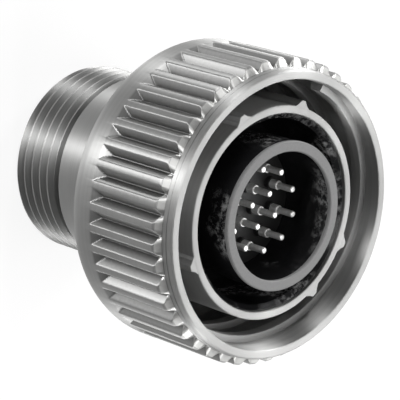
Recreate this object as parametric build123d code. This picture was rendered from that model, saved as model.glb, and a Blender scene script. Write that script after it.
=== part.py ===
from build123d import *
from math import cos, pi, radians, sin, tan
import os

# Circular plug connector, standing on its rear end, mating face up.
# All sizes are in millimetres. Z is the mating axis, and the rear end face is at Z = 0.
# Angles are about +Z, from +X.

# Plug shell: rear thread, relief, neck, flange, keyed barrel
thread_radius = 15.0
thread_length = 10.5
thread_lead = 1.3
thread_pitch = 1.87
thread_depth = 1.05
thread_crest_width = 0.3
thread_root_width = 0.3
thread_start = 0.66
relief_width = 0.75
relief_depth = 1.1
neck_length = 7.8
neck_lead = 0.35
neck_wall = 2.2
barrel_step = 1.5
flange_step = 1.9
flange_width = 2.0
barrel_length = 19.2
barrel_wall = 1.2
edge_break = 0.15
shell_shoulder = 1.0
key_angles = (55, 86, 183, 225.5, 311)
key_height = 1.0
key_foot_width = 3.0
key_base_width = 2.1
key_base_height = 0.25
key_top_width = 0.9
key_length = 12.0

# Coupling ring
ring_length = 27.05
ring_gap = 2.35
ring_wall = 2.95
ring_rear_wall = 0.85
ring_web = 1.8
ring_shoulder_round = 4.0
lip_length = 1.15
lip_wall = 1.45
lip_edge = 0.5
collar_length = 0.75
collar_step = 0.1
front_slope = 0.65
front_round = 0.5
flute_count = 45
flute_start = 3.4
flute_depth = 1.28
flute_land = 1.1
flute_floor = 0.15
flute_margin = 0.5
flute_shoulder = 10.4
flute_run_out = 1.6
coarse_pitch = 7.0
coarse_turns = 2.25
coarse_height = 1.1
coarse_crest = 1.9
coarse_front_flank = 6
coarse_rear_flank = 30
coarse_end_angle = 175.5
coarse_front_gap = 1.65
coarse_foot = 0.4

# Parts that hold the coupling ring on the shell
running_fit = 0.06
axial_play = 0.1
side_clearance = 0.35
retainer_groove_depth = 0.6
retainer_thickness = 1.1
retainer_width = 1.5
retainer_gap = 3.0
washer_thickness = 0.6
seat_clearance = 0.03
gasket_thickness = 1.5
gasket_height = 1.3

# Insulators and seals inside the shell
sleeve_wall = 0.9
sleeve_setback = 0.45
sleeve_lead = 0.8
channel_width = 2.92
tube_wall = 1.55
tube_projection = 1.65
end_ring_thickness = 0.6
end_ring_overhang = 0.08
channel_floor = 4.0
pin_floor_height = 10.0
face_seal_thickness = 0.75
tower_radius = 0.95
tower_height = 0.9
retention_thickness = 2.0
rear_insulator_thickness = 9.0
grommet_gap = 1.6
grommet_lead = 0.3
grommet_length = 9.0
lock_thickness = 1.2
lock_groove_depth = 0.7
lock_width = 1.6
lock_gap = 6.0

# Pin contacts
outer_pins = 10
outer_pin_circle = 6.4
outer_pin_start = 25
inner_pins = 4
inner_pin_circle = 2.65
inner_pin_start = -4
pin_radius = 0.5
pin_reach = 5.4
pin_shoulder_radius = 0.72
pin_shoulder_reach = 2.3
pin_nose = 0.42
pin_flange_radius = 1.2
wire_well_radius = 0.65
wire_well_depth = 4.5
crimp_radius = 1.0
crimp_inset = 1.5
wire_hole_radius = 0.8
hole_clearance = 0.04

# Radii worked out from the sizes above
shell_bore = thread_radius - neck_wall
insert_radius = shell_bore - seat_clearance
relief_radius = thread_radius - relief_depth
barrel_radius = thread_radius + barrel_step
barrel_bore = barrel_radius - barrel_wall
flange_radius = barrel_radius + flange_step
ring_thread_radius = flange_radius + ring_gap
ring_radius = ring_thread_radius + ring_wall
valley_radius = ring_radius - flute_depth
sleeve_radius = barrel_bore - seat_clearance
tube_radius = sleeve_radius - sleeve_wall - channel_width
tube_bore = tube_radius - tube_wall
grommet_radius = shell_bore - grommet_gap

# Heights worked out from the sizes above
relief_z = thread_length
neck_z = relief_z + relief_width
ring_z = neck_z + neck_length
ring_top_z = ring_z + ring_length
retainer_z = ring_z + axial_play + edge_break
web_z = retainer_z + retainer_thickness + axial_play
washer_z = web_z + ring_web + axial_play
flange_z = washer_z + washer_thickness
barrel_z = flange_z + flange_width
barrel_top_z = barrel_z + barrel_length
shoulder_z = barrel_z + shell_shoulder
channel_z = shoulder_z + channel_floor
pin_floor_z = shoulder_z + pin_floor_height
face_seal_z = pin_floor_z + face_seal_thickness
tube_top_z = barrel_top_z + tube_projection
retention_z = shoulder_z - retention_thickness
rear_insulator_z = retention_z - rear_insulator_thickness
lock_z = rear_insulator_z - lock_thickness
grommet_z = rear_insulator_z - grommet_length


def turned(*points):
    """Solid of revolution about Z through (radius, height) points."""
    outline = Polyline(*[(radius, 0, height) for radius, height in points], close=True)
    return revolve(make_face(outline), Axis.Z, 360)


def tube(inner, outer, bottom, top):
    """Plain ring with a square section."""
    return turned((inner, bottom), (outer, bottom), (outer, top), (inner, top))


def rod(radius, bottom, top, x=0.0, y=0.0):
    """Round bar parallel to Z."""
    height = top - bottom
    return Pos(x, y, bottom + height / 2) * Cylinder(radius, height)


def circle_edges(solid, radius, height):
    """Edges that run round the axis at one radius and height."""
    found = []
    for edge in solid.edges().filter_by(GeomType.CIRCLE):
        here = edge.arc_center
        if abs(edge.radius - radius) < 0.01 and abs(here.Z - height) < 0.01:
            found.append(edge)
    return found


def pin_places():
    """Centres of the contacts, outer circle first."""
    places = []
    rings = (
        (outer_pins, outer_pin_circle, outer_pin_start),
        (inner_pins, inner_pin_circle, inner_pin_start),
    )
    for count, circle, start in rings:
        for index in range(count):
            angle = radians(start + 360 * index / count)
            places.append((circle * cos(angle), circle * sin(angle)))
    return places


def drilled(solid, radius, bottom, top):
    """The solid with one hole on every contact centre."""
    holes = [rod(radius, bottom, top, x, y) for x, y in pin_places()]
    return solid - holes


def shell_key(angle):
    """One polarising key on the outside of the barrel, with a flared foot."""
    half_outline = (
        (barrel_radius - barrel_wall / 2, key_foot_width / 2),
        (barrel_radius, key_foot_width / 2),
        (barrel_radius + key_base_height, key_base_width / 2),
        (barrel_radius + key_height, key_top_width / 2),
    )
    outline = [(x, -y) for x, y in half_outline] + [(x, y) for x, y in reversed(half_outline)]
    face = make_face(Polyline(*outline, close=True))
    bar = extrude(Pos(0, 0, barrel_top_z - key_length) * face, key_length)
    return Rot(0, 0, angle) * bar


def thread_groove():
    """The V-shaped groove that winds round between the rear thread's crests."""
    slope = (thread_pitch - thread_crest_width - thread_root_width) / 2 / thread_depth
    mouth = thread_root_width / 2 + slope * (thread_depth + edge_break)
    root = thread_radius - thread_depth
    bottom = thread_start - thread_pitch
    section = make_face(
        Polyline(
            (root, 0, bottom - thread_root_width / 2),
            (thread_radius + edge_break, 0, bottom - mouth),
            (thread_radius + edge_break, 0, bottom + mouth),
            (root, 0, bottom + thread_root_width / 2),
            close=True,
        )
    )
    path = Pos(0, 0, bottom) * Helix(thread_pitch, thread_length + 2 * thread_pitch, root)
    return sweep(section, path=path, is_frenet=True)


def rear_thread():
    """Rear end of the shell: a bar with the groove cut in it, turned to its bore and lead."""
    grooved = rod(thread_radius, 0, relief_z) - thread_groove()
    turned_end = turned(
        (shell_bore + edge_break, 0),
        (thread_radius - thread_lead, 0),
        (thread_radius, thread_lead),
        (thread_radius, relief_z),
        (shell_bore, relief_z),
        (shell_bore, edge_break),
    )
    return grooved & turned_end


def plug_shell():
    """Turned shell with its rear thread, relief groove, ring grooves and keys."""
    retainer_groove = thread_radius - retainer_groove_depth
    groove_top = retainer_z + retainer_thickness + axial_play / 2
    groove_bottom = retainer_z - axial_play / 2
    outside = (
        (relief_radius, relief_z),
        (relief_radius, neck_z),
        (thread_radius - neck_lead, neck_z),
        (thread_radius, neck_z + neck_lead),
        (thread_radius, groove_bottom),
        (retainer_groove, groove_bottom),
        (retainer_groove, groove_top),
        (thread_radius, groove_top),
        (thread_radius, flange_z),
        (flange_radius, flange_z),
        (flange_radius, barrel_z),
        (barrel_radius, barrel_z),
        (barrel_radius, barrel_top_z - edge_break),
        (barrel_radius - edge_break, barrel_top_z),
    )
    lock_groove = shell_bore + lock_groove_depth
    inside = (
        (barrel_bore + edge_break, barrel_top_z),
        (barrel_bore, barrel_top_z - edge_break),
        (barrel_bore, shoulder_z),
        (shell_bore, shoulder_z),
        (shell_bore, lock_z + lock_thickness),
        (lock_groove, lock_z + lock_thickness),
        (lock_groove, lock_z),
        (shell_bore, lock_z),
        (shell_bore, relief_z),
    )
    keys = [shell_key(angle) for angle in key_angles]
    return turned(*outside, *inside) + keys + rear_thread()


def ring_blank():
    """The coupling ring before its flutes and its thread are cut."""
    recess_radius = thread_radius - retainer_groove_depth + retainer_width + side_clearance
    rear_radius = recess_radius + ring_rear_wall
    shoulder_top = ring_z + ring_radius - rear_radius
    pocket_radius = flange_radius + side_clearance
    pocket_top = barrel_z + ring_thread_radius - pocket_radius
    lip_radius = ring_thread_radius + lip_wall
    collar_radius = lip_radius + collar_step
    lip_z = ring_top_z - lip_length
    collar_z = lip_z - collar_length
    front_z = collar_z - front_slope
    blank = turned(
        (thread_radius + running_fit, web_z),
        (recess_radius, web_z),
        (recess_radius, ring_z),
        (rear_radius, ring_z),
        (ring_radius, shoulder_top),
        (ring_radius, front_z),
        (collar_radius, collar_z),
        (collar_radius, lip_z),
        (lip_radius, lip_z),
        (lip_radius, ring_top_z - lip_edge),
        (lip_radius - lip_edge, ring_top_z),
        (ring_thread_radius + edge_break, ring_top_z),
        (ring_thread_radius, ring_top_z - edge_break),
        (ring_thread_radius, pocket_top),
        (pocket_radius, barrel_z),
        (pocket_radius, web_z + ring_web),
        (thread_radius + running_fit, web_z + ring_web),
    )
    rear_rounded = fillet(circle_edges(blank, ring_radius, shoulder_top), ring_shoulder_round)
    return fillet(circle_edges(rear_rounded, ring_radius, front_z), front_round)


def flute_cutter():
    """One V-shaped flute with a sloping rear end."""
    pitch = 2 * pi * ring_radius / flute_count
    slope = (pitch - flute_land - flute_floor) / 2 / flute_depth
    height = flute_depth + flute_margin
    mouth = flute_floor / 2 + slope * height
    rear_z = ring_z + flute_shoulder
    valley_z = rear_z + flute_run_out
    margin_z = rear_z - flute_run_out * flute_margin / flute_depth
    length = ring_top_z - margin_z
    section = make_face(
        Polyline(
            (valley_radius, -flute_floor / 2, margin_z),
            (valley_radius + height, -mouth, margin_z),
            (valley_radius + height, mouth, margin_z),
            (valley_radius, flute_floor / 2, margin_z),
            close=True,
        )
    )
    side = make_face(
        Polyline(
            (valley_radius, -mouth, valley_z),
            (valley_radius + height, -mouth, margin_z),
            (valley_radius + height, -mouth, ring_top_z),
            (valley_radius, -mouth, ring_top_z),
            close=True,
        )
    )
    return extrude(section, length, dir=(0, 0, 1)) & extrude(side, 2 * mouth, dir=(0, 1, 0))


def coarse_thread():
    """The raised helix inside the ring that pulls the two halves together."""
    length = coarse_pitch * coarse_turns
    front_slant = tan(radians(coarse_front_flank))
    rear_slant = tan(radians(coarse_rear_flank))
    rise = coarse_height * rear_slant + coarse_crest
    top = rise + coarse_height * front_slant
    bottom = ring_top_z - coarse_front_gap - length - top
    root = ring_thread_radius
    crest = root - coarse_height
    section = make_face(
        Polyline(
            (root + coarse_foot, 0, bottom - coarse_foot * rear_slant),
            (crest, 0, bottom + coarse_height * rear_slant),
            (crest, 0, bottom + rise),
            (root + coarse_foot, 0, bottom + top + coarse_foot * front_slant),
            close=True,
        )
    )
    path = Pos(0, 0, bottom) * Helix(coarse_pitch, length, root)
    ridge = sweep(section, path=path, is_frenet=True)
    return Rot(0, 0, coarse_end_angle - 360 * coarse_turns) * ridge


def coupling_ring():
    """Fluted ring with its coarse internal thread."""
    cutter = flute_cutter()
    flutes = [Rot(0, 0, flute_start + 360 * index / flute_count) * cutter for index in range(flute_count)]
    return ring_blank() - flutes + coarse_thread()


def split(ring, gap):
    """The ring with a gap sawn through it on the +Y side."""
    reach = 2 * ring.bounding_box().max.X
    return ring - Pos(0, reach / 2, ring.center().Z) * Box(gap, reach, reach)


def retaining_ring():
    """Split ring in the neck's groove, behind the coupling ring's web."""
    inner = thread_radius - retainer_groove_depth + seat_clearance
    outer = thread_radius - retainer_groove_depth + retainer_width
    return split(tube(inner, outer, retainer_z, retainer_z + retainer_thickness), retainer_gap)


def thrust_washer():
    """Low-friction washer between the coupling ring's web and the shell's flange."""
    inner = thread_radius + seat_clearance
    outer = flange_radius
    return tube(inner, outer, washer_z, flange_z)


def shell_gasket():
    """Rubber washer on the front of the flange that seals against the mating shell."""
    inner = barrel_radius + seat_clearance
    outer = inner + gasket_height
    top = barrel_z + gasket_thickness
    return turned(
        (inner, barrel_z),
        (outer, barrel_z),
        (outer, top - edge_break),
        (outer - edge_break, top),
        (inner + edge_break, top),
        (inner, top - edge_break),
    )


def front_insulator():
    """Moulding with the sleeve, the channel and the tube round the pins."""
    sleeve_bore = sleeve_radius - sleeve_wall
    sleeve_top = barrel_top_z - sleeve_setback
    moulding = turned(
        (0, shoulder_z),
        (sleeve_radius, shoulder_z),
        (sleeve_radius, sleeve_top - edge_break),
        (sleeve_radius - edge_break, sleeve_top),
        (sleeve_bore, sleeve_top - sleeve_lead),
        (sleeve_bore, channel_z),
        (tube_radius, channel_z),
        (tube_radius, tube_top_z),
        (tube_bore, tube_top_z),
        (tube_bore, pin_floor_z),
        (0, pin_floor_z),
    )
    return drilled(moulding, pin_shoulder_radius + hole_clearance, shoulder_z, pin_floor_z)


def tube_end_ring():
    """Grey ring bonded on the end of the insulator's tube."""
    top = tube_top_z + end_ring_thickness
    return turned(
        (tube_bore, tube_top_z),
        (tube_radius + end_ring_overhang, tube_top_z),
        (tube_radius + end_ring_overhang, top - edge_break),
        (tube_radius + end_ring_overhang - edge_break, top),
        (tube_bore + edge_break, top),
        (tube_bore, top - edge_break),
    )


def pin_face_seal():
    """Soft face seal with one raised tower round each pin."""
    disc = rod(tube_bore - seat_clearance, pin_floor_z, face_seal_z)
    towers = [rod(tower_radius, pin_floor_z, face_seal_z + tower_height, x, y) for x, y in pin_places()]
    top = face_seal_z + tower_height
    return drilled(disc + towers, pin_shoulder_radius + hole_clearance, pin_floor_z, top)


def contact_retention_disc():
    """Disc round the contacts' flanges, between the two hard insulators."""
    disc = rod(insert_radius, retention_z, shoulder_z)
    return drilled(disc, pin_flange_radius + hole_clearance, retention_z, shoulder_z)


def rear_insulator():
    """Hard disc that carries the contacts' crimp barrels."""
    disc = rod(insert_radius, rear_insulator_z, retention_z)
    return drilled(disc, crimp_radius + hole_clearance, rear_insulator_z, retention_z)


def rear_grommet():
    """Rubber wire seal behind the rear insulator."""
    plug = turned(
        (0, grommet_z),
        (grommet_radius - grommet_lead, grommet_z),
        (grommet_radius, grommet_z + grommet_lead),
        (grommet_radius, rear_insulator_z),
        (0, rear_insulator_z),
    )
    return drilled(plug, wire_hole_radius, grommet_z, rear_insulator_z)


def insert_retaining_ring():
    """Split ring in the shell's inner groove that holds the insulators."""
    outer = shell_bore + lock_groove_depth - seat_clearance
    inner = shell_bore + lock_groove_depth - lock_width
    return split(tube(inner, outer, lock_z, lock_z + lock_thickness), lock_gap)


def pin_contact(x, y):
    """Turned contact: round-nosed pin, shoulder, flange and drilled crimp barrel."""
    tip_z = face_seal_z + pin_reach
    shoulder_top = face_seal_z + pin_shoulder_reach
    crimp_z = rear_insulator_z + crimp_inset
    well_z = crimp_z + wire_well_depth
    body = turned(
        (0, well_z),
        (wire_well_radius, well_z),
        (wire_well_radius, crimp_z),
        (crimp_radius, crimp_z),
        (crimp_radius, retention_z),
        (pin_flange_radius, retention_z),
        (pin_flange_radius, shoulder_z),
        (pin_shoulder_radius, shoulder_z),
        (pin_shoulder_radius, shoulder_top),
        (pin_radius, shoulder_top),
        (pin_radius, tip_z),
        (0, tip_z),
    )
    rounded = fillet(circle_edges(body, pin_radius, tip_z), pin_nose)
    return Pos(x, y, 0) * rounded


def all_nodes():
    """Every node by name."""
    nodes = {
        "plug_shell": plug_shell(),
        "coupling_ring": coupling_ring(),
        "retaining_ring": retaining_ring(),
        "thrust_washer": thrust_washer(),
        "shell_gasket": shell_gasket(),
        "front_insulator": front_insulator(),
        "tube_end_ring": tube_end_ring(),
        "pin_face_seal": pin_face_seal(),
        "contact_retention_disc": contact_retention_disc(),
        "rear_insulator": rear_insulator(),
        "rear_grommet": rear_grommet(),
        "insert_retaining_ring": insert_retaining_ring(),
    }
    for number, (x, y) in enumerate(pin_places(), start=1):
        nodes[f"pin_contact_{number:02d}"] = pin_contact(x, y)
    return nodes


os.makedirs("parts", exist_ok=True)
for name, solid in all_nodes().items():
    export_step(solid, f"parts/{name}.step")
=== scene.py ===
import bmesh
import bpy
from math import cos, pi, radians, sin, tan
from mathutils import Matrix, Vector


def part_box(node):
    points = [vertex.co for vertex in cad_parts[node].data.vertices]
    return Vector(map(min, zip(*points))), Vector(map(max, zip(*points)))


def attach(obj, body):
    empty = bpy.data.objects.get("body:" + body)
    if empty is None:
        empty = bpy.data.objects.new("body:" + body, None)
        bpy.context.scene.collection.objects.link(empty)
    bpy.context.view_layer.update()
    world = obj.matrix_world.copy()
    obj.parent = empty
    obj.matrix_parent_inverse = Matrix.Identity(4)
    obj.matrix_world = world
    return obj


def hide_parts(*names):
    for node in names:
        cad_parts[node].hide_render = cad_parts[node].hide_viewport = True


# Circular plug connector, standing on its rear end, mating face up.
# Shapes are worked out in millimetres and written to the meshes in metres.

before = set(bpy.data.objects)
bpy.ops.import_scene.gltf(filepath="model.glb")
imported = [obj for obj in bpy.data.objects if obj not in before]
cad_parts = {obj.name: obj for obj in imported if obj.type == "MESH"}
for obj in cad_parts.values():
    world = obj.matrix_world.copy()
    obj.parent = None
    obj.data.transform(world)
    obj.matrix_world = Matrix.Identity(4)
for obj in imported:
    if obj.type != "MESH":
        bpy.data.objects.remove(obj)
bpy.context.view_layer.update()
MM = 0.001

# Sizes repeated from the part's source, in millimetres
THREAD_R = 15.0
THREAD_END = 10.5
THREAD_PITCH = 1.87
THREAD_DEPTH = 1.05
THREAD_LEAD = 1.3
THREAD_CREST = 0.16
THREAD_ROOT = 0.84
THREAD_PHASE = 0.147
RELIEF_R = 13.9
NECK_Z = 11.25
NECK_LEAD = 0.35
GROOVE = (19.25, 20.45)
GROOVE_R = 14.4
FLANGE = (23.0, 25.0)
FLANGE_R = 18.4
BARREL_R = 16.5
BARREL_BORE = 15.3
BARREL_TOP = 44.2
SHELL_BORE = 12.8
SHOULDER_Z = 26.0
LOCK_GROOVE = (13.8, 15.0)
LOCK_GROOVE_R = 13.5
KEY_ANGLES = (55, 86, 183, 225.5, 311)
KEY_HEIGHT = 1.0
KEY_FOOT = 3.0
KEY_BASE = 2.1
KEY_BASE_HEIGHT = 0.25
KEY_TOP = 0.9
KEY_LENGTH = 12.0
RING_Z = 19.05
RING_TOP = 46.1
RING_R = 23.7
RING_REAR_R = 17.1
RING_SHOULDER_ROUND = 4.0
RING_BORE = 20.75
RECESS_R = 16.25
WEB = (20.5, 22.3)
WEB_BORE = 15.06
POCKET_R = 18.75
POCKET_TOP = 27.0
LIP_R = 22.2
LIP_Z = 44.95
LIP_EDGE = 0.25
COLLAR_R = 22.3
COLLAR_Z = 44.2
FRONT_Z = 43.55
FRONT_ROUND = 0.5
FLUTES = 45
FLUTE_START = 3.4
FLUTE_DEPTH = 1.28
FLUTE_FLOOR = 0.15
FLUTE_SLOPE = 0.804
FLUTE_END = (29.45, 1.6)
FLUTE_SOFTNESS = 0.2
FLUTE_END_SOFTNESS = 0.1
COARSE_PITCH = 7.0
COARSE_TURNS = 2.25
COARSE_HEIGHT = 1.1
COARSE_CREST = 1.9
COARSE_FLANKS = (30, 6)
COARSE_FOOT = 0.4
COARSE_END = 175.5
COARSE_GAP = 1.65

# Circles of pins: number, radius and angle of the first one
OUTER_PINS = (10, 6.4, 25)
INNER_PINS = (4, 2.65, -4)
PIN_CRIMP_R = 1.0
PIN_FLANGE = (24.0, 26.0)
PIN_FLANGE_R = 1.2
PIN_SHANK_R = 0.72
PIN_TIP_R = 0.5
PIN_TIP_LENGTH = 3.1
CRIMP_BORE_R = 0.65
CRIMP_DEPTH = 4.5

# Looks
STEEL = (0.34, 0.34, 0.336)
# Painted highlight: a brighter colour on the ring's front facets, in a band of z from to and beyond a least
# radius
PAINTED_HIGHLIGHT_TINT = (0.5, 0.5, 0.49, 1)
PAINTED_HIGHLIGHT_BAND = (43.68, 44.25, 22.4)
# Painted shade: share of the colour left at the flutes' floors, rising to full at the crests
FLUTE_PAINTED_SHADE = 0.5
FLOOR_SHARE = 0.85


# Mesh helpers

def mesh_object(name, bm, body, stands_for, sharp=35):
    """Turns a bmesh in millimetres into a piece that rides on a body and stands for its nodes."""
    bmesh.ops.remove_doubles(bm, verts=bm.verts, dist=0.0005)
    bmesh.ops.dissolve_degenerate(bm, edges=bm.edges, dist=0.0005)
    bmesh.ops.recalc_face_normals(bm, faces=bm.faces)
    bmesh.ops.scale(bm, vec=(MM, MM, MM), verts=bm.verts)
    mesh = bpy.data.meshes.new(name)
    bm.to_mesh(mesh)
    bm.free()
    for face in mesh.polygons:
        face.use_smooth = True
    mesh.set_sharp_from_angle(angle=radians(sharp))
    piece = bpy.data.objects.new(name, mesh)
    bpy.context.scene.collection.objects.link(piece)
    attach(piece, body)
    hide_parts(*stands_for)
    return piece


def rounded(points, radius, steps=3):
    """Closed (r, z) outline with rounded corners; a point may carry its own radius and number of steps."""
    out = []
    for index, point in enumerate(points):
        here = Vector(point[:2])
        before = Vector(points[index - 1][:2]) - here
        after = Vector(points[(index + 1) % len(points)][:2]) - here
        wanted = point[2] if len(point) > 2 else radius
        count = point[3] if len(point) > 3 else steps
        angle = before.angle(after)
        if wanted <= 0 or angle > pi - 0.05:
            out.append((here.x, here.y))
            continue
        reach = min(wanted / tan(angle / 2), before.length * 0.45, after.length * 0.45)
        start = here + before.normalized() * reach
        end = here + after.normalized() * reach
        for step in range(count + 1):
            t = step / count
            at = start * (1 - t) ** 2 + here * 2 * t * (1 - t) + end * t ** 2
            out.append((at.x, at.y))
    return out


def add_lathe(bm, outline, segments, centre=(0, 0)):
    """Adds the solid of revolution of a closed (r, z) outline."""
    rings = []
    for index in range(segments):
        angle = 2 * pi * index / segments
        rings.append([
            bm.verts.new((centre[0] + r * cos(angle), centre[1] + r * sin(angle), z)) for r, z in outline
        ])
    for index, ring in enumerate(rings):
        following = rings[(index + 1) % segments]
        for k in range(len(outline)):
            m = (k + 1) % len(outline)
            bm.faces.new((ring[k], following[k], following[m], ring[m]))


def add_prism(bm, outline, bottom, top, turn, chamfer):
    """Adds a bar with an (x, y) outline along Z, its top edge chamfered, turned about Z."""
    spin = Matrix.Rotation(radians(turn), 3, "Z")
    middle = Vector((sum(p[0] for p in outline), sum(p[1] for p in outline))) / len(outline)
    loops = []
    for height, inset in ((bottom, 0), (top - chamfer, 0), (top, chamfer)):
        loop = []
        for x, y in outline:
            towards = middle - Vector((x, y))
            at = Vector((x, y)) + towards.normalized() * inset
            loop.append(bm.verts.new(spin @ Vector((at.x, at.y, height))))
        loops.append(loop)
    bm.faces.new(list(reversed(loops[0])))
    bm.faces.new(loops[-1])
    for low, high in zip(loops, loops[1:]):
        for k in range(len(low)):
            m = (k + 1) % len(low)
            bm.faces.new((low[k], low[m], high[m], high[k]))


# Plug shell: turned body with a real rear thread and keys

def thread_profile(share):
    """Depth below the crest at a share of the pitch, from 0 at the crest's middle to 1 at the next."""
    distance = min(share, 1 - share) * 2
    slope = (distance - THREAD_CREST) / (THREAD_ROOT - THREAD_CREST)
    return THREAD_DEPTH * min(max(slope, 0.0), 1.0)


def plug_shell():
    columns, per_pitch = 144, 16
    turns = THREAD_END / THREAD_PITCH
    rows = int((turns + 1) * per_pitch) + 2
    fixed = [
        (RELIEF_R, THREAD_END, 0), (RELIEF_R, NECK_Z, 0.12),
        (THREAD_R - NECK_LEAD, NECK_Z, 0.06), (THREAD_R, NECK_Z + NECK_LEAD, 0.06),
        (THREAD_R, GROOVE[0]), (GROOVE_R, GROOVE[0]), (GROOVE_R, GROOVE[1]), (THREAD_R, GROOVE[1]),
        (THREAD_R, FLANGE[0]), (FLANGE_R, FLANGE[0]), (FLANGE_R, FLANGE[1]), (BARREL_R, FLANGE[1]),
        (BARREL_R, BARREL_TOP, 0.22), (BARREL_BORE, BARREL_TOP, 0.2), (BARREL_BORE, SHOULDER_Z),
        (SHELL_BORE, SHOULDER_Z), (SHELL_BORE, LOCK_GROOVE[1]), (LOCK_GROOVE_R, LOCK_GROOVE[1]),
        (LOCK_GROOVE_R, LOCK_GROOVE[0]), (SHELL_BORE, LOCK_GROOVE[0]), (SHELL_BORE, 0, 0.2),
        (THREAD_R - THREAD_LEAD, 0, 0),
    ]
    turned_part = rounded(fixed, 0.07)
    bm = bmesh.new()
    threads, turned = [], []
    for j in range(columns):
        angle = 2 * pi * j / columns
        c, s = cos(angle), sin(angle)
        column = []
        for i in range(rows):
            z = THREAD_PITCH * (i / per_pitch - 1 + j / columns)
            z = min(max(z, 0.0), THREAD_END)
            share = (z / THREAD_PITCH - j / columns + THREAD_PHASE) % 1.0
            r = THREAD_R - thread_profile(share)
            r = min(r, THREAD_R - THREAD_LEAD + z)
            column.append(bm.verts.new((r * c, r * s, z)))
        threads.append(column)
        turned.append([bm.verts.new((r * c, r * s, z)) for r, z in turned_part])
    for j in range(columns):
        following = (j + 1) % columns
        shift = per_pitch if following == 0 else 0
        for i in range(rows - 1):
            low = min(i + shift, rows - 1)
            high = min(i + 1 + shift, rows - 1)
            corners = [threads[j][i], threads[following][low], threads[following][high], threads[j][i + 1]]
            unique = list(dict.fromkeys(corners))
            if len(unique) > 2:
                bm.faces.new(unique)
        for k in range(len(turned_part) - 1):
            bm.faces.new((turned[j][k], turned[following][k], turned[following][k + 1], turned[j][k + 1]))
        bm.faces.new((threads[j][-1], threads[following][-1], turned[following][0], turned[j][0]))
    root = BARREL_R - 0.25
    for angle in KEY_ANGLES:
        outline = rounded([
            (root, -KEY_FOOT / 2, 0), (BARREL_R - 0.07, -KEY_FOOT / 2, 0),
            (BARREL_R + KEY_BASE_HEIGHT, -KEY_BASE / 2, 0.5), (BARREL_R + KEY_HEIGHT, -KEY_TOP / 2),
            (BARREL_R + KEY_HEIGHT, KEY_TOP / 2), (BARREL_R + KEY_BASE_HEIGHT, KEY_BASE / 2, 0.5),
            (BARREL_R - 0.07, KEY_FOOT / 2, 0), (root, KEY_FOOT / 2, 0),
        ], 0.22)
        add_prism(bm, outline, BARREL_TOP - KEY_LENGTH, BARREL_TOP - 0.03, angle, 0.1)
    return mesh_object("shell_turned_body", bm, "plug", ["plug_shell"])


# Coupling ring: fluted outside with softened ribs, plain bore and the coarse thread

def soft_min(a, b, width):
    """The smaller of two values, blended where they come closer than the width."""
    near = max(width - abs(a - b), 0.0) / width
    return min(a, b) - near * near * width / 4


def flute_radius(across, z):
    """Radius of one flute's surface at a distance from its middle, with its sloping rear end."""
    rear, run_out = FLUTE_END
    side = RING_R - FLUTE_DEPTH + max(across - FLUTE_FLOOR / 2, 0.0) / FLUTE_SLOPE
    end = RING_R - FLUTE_DEPTH * (z - rear) / run_out
    return -soft_min(-side, -end, FLUTE_END_SOFTNESS)


def ring_outline():
    """Closed (r, z) outline with rows close together where the flutes begin and end."""
    rear, run_out = FLUTE_END
    flute_rows = [rear - 0.3] + [rear + run_out * k / 16 for k in range(18)] + [34.0, 38.5, 42.5]
    return rounded([
        (WEB_BORE, WEB[0], 0.08, 2), (RECESS_R, WEB[0], 0.08, 2), (RECESS_R, RING_Z, 0.08, 2),
        (RING_REAR_R, RING_Z, 0.15, 2), (RING_R, RING_Z + RING_R - RING_REAR_R, RING_SHOULDER_ROUND, 8),
        *[(RING_R, z, 0) for z in flute_rows],
        (RING_R, FRONT_Z, FRONT_ROUND, 4), (COLLAR_R, COLLAR_Z, 0.1, 2), (COLLAR_R, LIP_Z, 0.06, 2),
        (LIP_R, LIP_Z, 0.06, 2), (LIP_R, RING_TOP - LIP_EDGE, 0.12, 3),
        (LIP_R - LIP_EDGE, RING_TOP, 0.12, 3),
        (RING_BORE, RING_TOP, 0.25, 3), (RING_BORE, POCKET_TOP, 0.3, 2), (POCKET_R, FLANGE[1], 0.3, 2),
        (POCKET_R, WEB[1], 0.3, 2), (WEB_BORE, WEB[1], 0.08, 2),
    ], 0.08)


def flute_columns():
    """Angle of each mesh column and its distance from the middle of its flute."""
    half = pi * RING_R / FLUTES
    steps = (0.0, 0.075, 0.28, 0.49, 0.7, 0.86, 0.95, 1.02, 1.09, 1.17, 1.26)
    across = sorted({-x for x in steps} | set(steps)) + [half]
    for index in range(FLUTES):
        middle = radians(FLUTE_START + 360 * index / FLUTES)
        for distance in across:
            yield middle + distance / RING_R, abs(distance)


def add_coarse_ridge(bm):
    """Adds the raised helix inside the ring as a closed bar that is rooted in the wall."""
    rear_slant, front_slant = (tan(radians(flank)) for flank in COARSE_FLANKS)
    rise = COARSE_HEIGHT * rear_slant + COARSE_CREST
    top = rise + COARSE_HEIGHT * front_slant
    bottom = RING_TOP - COARSE_GAP - COARSE_PITCH * COARSE_TURNS - top
    crest = RING_BORE - COARSE_HEIGHT
    foot = RING_BORE + COARSE_FOOT
    section = rounded([
        (foot, -COARSE_FOOT * rear_slant, 0), (crest, COARSE_HEIGHT * rear_slant, 0.15, 3),
        (crest, rise, 0.15, 3), (foot, top + COARSE_FOOT * front_slant, 0),
    ], 0.1)
    per_turn = 144
    count = int(COARSE_TURNS * per_turn)
    loops = []
    for index in range(count + 1):
        turn = index / per_turn
        angle = radians(COARSE_END + 360 * (turn - COARSE_TURNS))
        lift = bottom + COARSE_PITCH * turn
        loops.append([bm.verts.new((r * cos(angle), r * sin(angle), z + lift)) for r, z in section])
    bm.faces.new(loops[0])
    bm.faces.new(list(reversed(loops[-1])))
    for low, high in zip(loops, loops[1:]):
        for k in range(len(section)):
            m = (k + 1) % len(section)
            bm.faces.new((low[k], low[m], high[m], high[k]))


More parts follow.
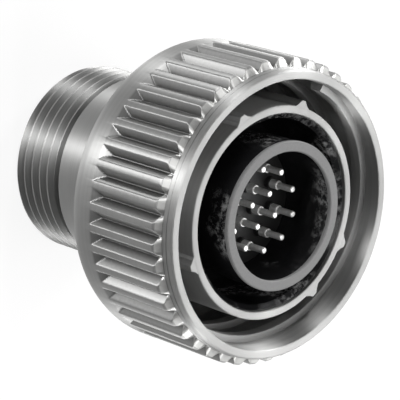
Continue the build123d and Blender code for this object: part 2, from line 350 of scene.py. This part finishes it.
def coupling_ring():
    outline = ring_outline()
    bm = bmesh.new()
    columns = []
    for angle, across in flute_columns():
        column = []
        for r, z in outline:
            if r > COLLAR_R + 0.05 and z > RING_Z + RING_R - RING_REAR_R:
                r = soft_min(r, flute_radius(across, z), FLUTE_SOFTNESS)
            column.append(bm.verts.new((r * cos(angle), r * sin(angle), z)))
        columns.append(column)
    for index, column in enumerate(columns):
        following = columns[(index + 1) % len(columns)]
        for k in range(len(outline)):
            m = (k + 1) % len(outline)
            bm.faces.new((column[k], following[k], following[m], column[m]))
    add_coarse_ridge(bm)
    return mesh_object("ring_fluted_body", bm, "ring", ["coupling_ring"], 30)


# Pins

def pin_places():
    for count, circle, start in (OUTER_PINS, INNER_PINS):
        for index in range(count):
            angle = radians(start + 360 * index / count)
            yield circle * cos(angle), circle * sin(angle)


def pins():
    made = []
    for number, (x, y) in enumerate(pin_places(), start=1):
        low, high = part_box(f"pin_contact_{number:02d}")
        top = high.z / MM
        base = low.z / MM
        outline = rounded([
            (0.001, base + CRIMP_DEPTH, 0), (CRIMP_BORE_R, base + CRIMP_DEPTH, 0),
            (CRIMP_BORE_R, base), (PIN_CRIMP_R, base),
            (PIN_CRIMP_R, PIN_FLANGE[0]), (PIN_FLANGE_R, PIN_FLANGE[0]),
            (PIN_FLANGE_R, PIN_FLANGE[1]), (PIN_SHANK_R, PIN_FLANGE[1]),
            (PIN_SHANK_R, top - PIN_TIP_LENGTH, 0.1), (PIN_TIP_R, top - PIN_TIP_LENGTH),
            (PIN_TIP_R, top, 0.36, 8), (0.001, top, 0),
        ], 0.05)
        bm = bmesh.new()
        add_lathe(bm, outline, 40, (x, y))
        made.append(mesh_object(
            f"contact_pin_{number:02d}", bm, "plug", [f"pin_contact_{number:02d}"], 40))
    return made


# Materials

class Tree:
    """Short names for building one material's nodes."""

    def __init__(self, name):
        self.material = bpy.data.materials.new(name)
        self.material.use_nodes = True
        self.tree = self.material.node_tree
        self.shader = self.tree.nodes["Principled BSDF"]

    def add(self, kind, *inputs, **settings):
        made = self.tree.nodes.new("ShaderNode" + kind)
        for key, value in settings.items():
            setattr(made, key, value)
        for index, value in enumerate(inputs):
            if value is None:
                continue
            if isinstance(value, bpy.types.NodeSocket):
                self.tree.links.new(value, made.inputs[index])
            else:
                made.inputs[index].default_value = value
        return made

    def math(self, operation, *inputs):
        return self.add("Math", *inputs, operation=operation).outputs[0]

    def noise(self, vector, scale, detail=2.0, rough=0.5):
        made = self.add("TexNoise", noise_dimensions="3D")
        self.tree.links.new(vector, made.inputs["Vector"])
        made.inputs["Scale"].default_value = scale
        made.inputs["Detail"].default_value = detail
        made.inputs["Roughness"].default_value = rough
        return made.outputs["Fac"]

    def ramp(self, value, *stops):
        made = self.add("ValToRGB")
        self.tree.links.new(value, made.inputs[0])
        elements = made.color_ramp.elements
        while len(elements) < len(stops):
            elements.new(0.5)
        for element, (position, colour) in zip(elements, stops):
            element.position = position
            element.color = (*colour, 1) if isinstance(colour, tuple) else (colour, colour, colour, 1)
        return made.outputs[0]

    def spread(self, value, low, high):
        """A 0 to 1 value stretched to a range."""
        made = self.add("MapRange")
        self.tree.links.new(value, made.inputs[0])
        made.inputs["From Min"].default_value = 0.3
        made.inputs["From Max"].default_value = 0.7
        made.inputs["To Min"].default_value = low
        made.inputs["To Max"].default_value = high
        return made.outputs[0]

    def object_place(self):
        return self.add("TexCoord").outputs["Object"]

    def axis_place(self):
        """Distance from the axis and height above the floor, in millimetres, as a vector."""
        parts = self.add("SeparateXYZ", self.object_place())
        squares = self.math("ADD", self.math("POWER", parts.outputs[0], 2.0),
                            self.math("POWER", parts.outputs[1], 2.0))
        distance = self.math("MULTIPLY", self.math("SQRT", squares), 1 / MM)
        height = self.math("MULTIPLY", parts.outputs[2], 1 / MM)
        return self.add("CombineXYZ", distance, 0.0, height).outputs[0]

    def set(self, **values):
        for key, value in values.items():
            self.shader.inputs[key.replace("_", " ")].default_value = value

    def to(self, name, value):
        self.tree.links.new(value, self.shader.inputs[name])


def metal(name, tint, rough, marks, edge=0.08, anisotropic=0.6, bump=0.25,
          metallic=1.0, painted_light_band=None):
    """Bare turned metal: fine circular tool marks, soft smudges and slightly broken edges.

    The painted light band, given as lowest and highest z and least distance from the axis, gets a painted
    highlight: a brighter metal colour on the ring's front facets.
    Below that band, what lies deeper than the ribs' crests gets painted shade: a darker colour, darkest at
    the flutes' floors.
    """
    t = Tree(name)
    around = t.axis_place()
    coarse = t.noise(around, marks, 3.0, 0.6)
    smudge = t.noise(t.object_place(), 90.0, 3.0, 0.55)
    dark = tuple(0.86 * c for c in tint)
    colour = t.ramp(coarse, (0.35, dark), (0.65, tint))
    # Painted highlight on the front facets, and painted shade in the flutes below them
    if painted_light_band:
        low, high, least = painted_light_band
        place = t.add("SeparateXYZ", around)
        highlight_mask = t.math("MULTIPLY", t.math("GREATER_THAN", place.outputs[2], low),
                     t.math("LESS_THAN", place.outputs[2], high))
        highlight_mask = t.math("MULTIPLY", highlight_mask, t.math("GREATER_THAN", place.outputs[0], least))
        # Painted shade: the colour darkens with depth into the flutes, below the facet band
        depth = t.add("MapRange", place.outputs[0], RING_R - FLUTE_DEPTH, RING_R - 0.3, FLUTE_PAINTED_SHADE, 1.0)
        shade_zone = t.math("MULTIPLY", t.math("GREATER_THAN", place.outputs[0], least - 0.1),
                        t.math("LESS_THAN", place.outputs[2], low))
        shade = t.math("MAXIMUM", depth.outputs[0], t.math("SUBTRACT", 1.0, shade_zone))
        colour = t.add("MixRGB", 1.0, colour, shade, blend_type="MULTIPLY").outputs[0]
        colour = t.add("MixRGB", highlight_mask, colour, PAINTED_HIGHLIGHT_TINT).outputs[0]
    t.to("Base Color", colour)
    smudge_and_glint_spots = t.spread(smudge, -0.03, 0.04)
    t.to("Roughness", t.math("ADD", t.spread(coarse, rough * 0.9, rough * 1.1), smudge_and_glint_spots))
    t.set(Metallic=metallic, Anisotropic=anisotropic, Anisotropic_Rotation=0.25)
    t.to("Tangent", t.add("Tangent", direction_type="RADIAL", axis="Z").outputs[0])
    rounding = t.add("Bevel", edge * MM, samples=6)
    lines = t.add("Bump")
    lines.inputs["Strength"].default_value = bump
    lines.inputs["Distance"].default_value = 0.01 * MM
    t.tree.links.new(coarse, lines.inputs["Height"])
    t.tree.links.new(rounding.outputs[0], lines.inputs["Normal"])
    t.to("Normal", lines.outputs[0])
    return t.material


def plastic(name, tint, rough, grain, bump=0.1, edge=0.08, specular=0.5, painted_reflections=0.0):
    """Moulded plastic or rubber with faint flow streaks, a fine grain and pale speckled patches that paint
    streaky reflections.
    """
    t = Tree(name)
    flow = t.noise(t.axis_place(), 0.9, 2.0)
    fine = t.noise(t.object_place(), grain, 4.0, 0.6)
    light = tuple(min(1.0, 1.25 * c) for c in tint)
    colour = t.ramp(fine, (0.3, tint), (0.75, light))
    # Painted reflections: pale speckled patches scattered over the plastic
    if painted_reflections:
        patch = t.ramp(t.noise(t.object_place(), 75.0, 2.0, 0.5), (0.54, 0.0), (0.64, 1.0))
        smudge_and_glint_spots = t.ramp(t.noise(t.object_place(), 900.0, 5.0, 0.75), (0.47, 0.0), (0.62, 1.0))
        painted_reflection_mask = t.math("MULTIPLY", patch, smudge_and_glint_spots)
        colour = t.add("MixRGB", painted_reflection_mask, colour, (painted_reflections, painted_reflections, painted_reflections, 1)).outputs[0]
    t.to("Base Color", colour)
    t.to("Roughness", t.math("ADD", t.spread(flow, rough * 0.85, rough * 1.15), t.spread(fine, -0.03, 0.03)))
    t.set(Specular_IOR_Level=specular)
    rounding = t.add("Bevel", edge * MM, samples=6)
    relief = t.add("Bump")
    relief.inputs["Strength"].default_value = bump
    relief.inputs["Distance"].default_value = 0.02 * MM
    t.tree.links.new(fine, relief.inputs["Height"])
    t.tree.links.new(rounding.outputs[0], relief.inputs["Normal"])
    t.to("Normal", relief.outputs[0])
    return t.material


def give(piece, material):
    piece.data.materials.clear()
    piece.data.materials.append(material)


shell_metal = metal("shell_turned_metal", STEEL, 0.5, 2.2, anisotropic=0.9)
ring_metal = metal("ring_turned_metal", STEEL, 0.5, 1.8, edge=0.1, anisotropic=0.9, painted_light_band=PAINTED_HIGHLIGHT_BAND)
spring_steel = metal("spring_steel_dark", (0.30, 0.29, 0.28), 0.35, 2.5)
contact_metal = metal("contact_bright_metal", (0.74, 0.74, 0.73), 0.42, 3.0, edge=0.03,
                      anisotropic=0.3, bump=0.1, metallic=0.6)
# The black insulator carries pale patches of painted reflection
insulator_black = plastic("insulator_black_plastic", (0.006, 0.006, 0.0065), 0.2, 350.0,
                          bump=0.5, specular=0.4, painted_reflections=0.2)
end_ring_grey = plastic("end_ring_grey_plastic", (0.115, 0.115, 0.115), 0.55, 2500.0, bump=0.2)
seal_dark = plastic("face_seal_dark_rubber", (0.008, 0.008, 0.008), 0.5, 2500.0, bump=0.3)
washer_white = plastic("washer_white_plastic", (0.62, 0.61, 0.58), 0.4, 1200.0)
gasket_black = plastic("gasket_black_rubber", (0.03, 0.03, 0.03), 0.6, 2500.0, bump=0.3)
disc_tan = plastic("disc_tan_plastic", (0.24, 0.17, 0.09), 0.45, 1500.0)
grommet_red = plastic("grommet_rubber", (0.16, 0.05, 0.035), 0.6, 2000.0, bump=0.3)

give(plug_shell(), shell_metal)
give(coupling_ring(), ring_metal)
for pin in pins():
    give(pin, contact_metal)

finishes = {
    "retaining_ring": spring_steel,
    "insert_retaining_ring": spring_steel,
    "thrust_washer": washer_white,
    "shell_gasket": gasket_black,
    "front_insulator": insulator_black,
    "tube_end_ring": end_ring_grey,
    "pin_face_seal": seal_dark,
    "contact_retention_disc": disc_tan,
    "rear_insulator": insulator_black,
    "rear_grommet": grommet_red,
}
for node_name, finish in finishes.items():
    give(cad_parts[node_name], finish)


# Floor, light and camera

def floor_plane():
    bm = bmesh.new()
    bmesh.ops.create_grid(bm, x_segments=8, y_segments=8, size=3.0)
    mesh = bpy.data.meshes.new("studio_floor")
    bm.to_mesh(mesh)
    bm.free()
    plane = bpy.data.objects.new("studio_floor", mesh)
    bpy.context.scene.collection.objects.link(plane)
    t = Tree("studio_floor_white")
    t.set(Base_Color=(0.9, 0.9, 0.9, 1), Roughness=0.9, Specular_IOR_Level=0.1)
    path = t.add("LightPath")
    seen = t.math("MAXIMUM", t.math("MAXIMUM", path.outputs["Is Camera Ray"], path.outputs["Is Glossy Ray"]),
                  path.outputs["Is Transmission Ray"])
    share = t.math("MULTIPLY", seen, FLOOR_SHARE)
    glow = t.add("Emission", (1, 1, 1, 1), 1.0)
    both = t.add("MixShader", share, t.shader.outputs[0], glow.outputs[0])
    t.tree.links.new(both.outputs[0], t.tree.nodes["Material Output"].inputs["Surface"])
    plane.data.materials.append(t.material)


def softbox(name, azimuth, elevation, distance, width, height, radiance):
    """Area lamp aimed at the object, placed by its direction from it."""
    lamp = bpy.data.lights.new(name, "AREA")
    lamp.shape = "RECTANGLE"
    lamp.size = width
    lamp.size_y = height
    lamp.energy = radiance * pi * width * height
    holder = bpy.data.objects.new(name, lamp)
    bpy.context.scene.collection.objects.link(holder)
    a, e = radians(azimuth), radians(elevation)
    direction = Vector((cos(a) * cos(e), sin(a) * cos(e), sin(e)))
    holder.location = Vector((0, 0, 0.025)) + direction * distance
    holder.rotation_mode = "QUATERNION"
    holder.rotation_quaternion = direction.to_track_quat("Z", "Y")


def world_light(level):
    world = bpy.data.worlds.new("studio_world")
    bpy.context.scene.world = world
    world.use_nodes = True
    background = world.node_tree.nodes["Background"]
    background.inputs[0].default_value = (1, 1, 1, 1)
    background.inputs[1].default_value = level


def photo_camera():
    data = bpy.data.cameras.new("photo_camera")
    data.sensor_width = 36.0
    data.lens = 225.0
    data.clip_start = 0.01
    data.clip_end = 20.0
    camera = bpy.data.objects.new("photo_camera", data)
    bpy.context.scene.collection.objects.link(camera)
    right = Vector((-0.29965, 0.67643, 0.6728))
    up = Vector((-0.95405, -0.21245, -0.2113))
    back = Vector((0.0, -0.70521, 0.7090))
    turn = Matrix((right, up, back)).transposed().to_4x4()
    camera.matrix_world = Matrix.Translation(Vector((1.385, -272.37, 302.25)) * MM) @ turn
    bpy.context.scene.camera = camera


floor_plane()
world_light(0.15)
softbox("key_light", 90, 45, 0.55, 0.34, 0.34, 5.0)
softbox("top_light", 150, 14, 0.5, 0.14, 0.2, 20.0)
softbox("upper_left_light", 200, 14, 0.5, 0.08, 0.2, 24.0)
softbox("left_light", 266, 8, 0.5, 0.08, 0.16, 44.0)
softbox("low_light", 18, 14, 0.5, 0.08, 0.2, 20.0)
softbox("front_light", 270, 58, 0.6, 0.26, 0.26, 3.5)
softbox("overhead_light", 90, 72, 0.55, 0.45, 0.25, 2.5)
photo_camera()
bpy.context.scene.view_settings.view_transform = "Standard"
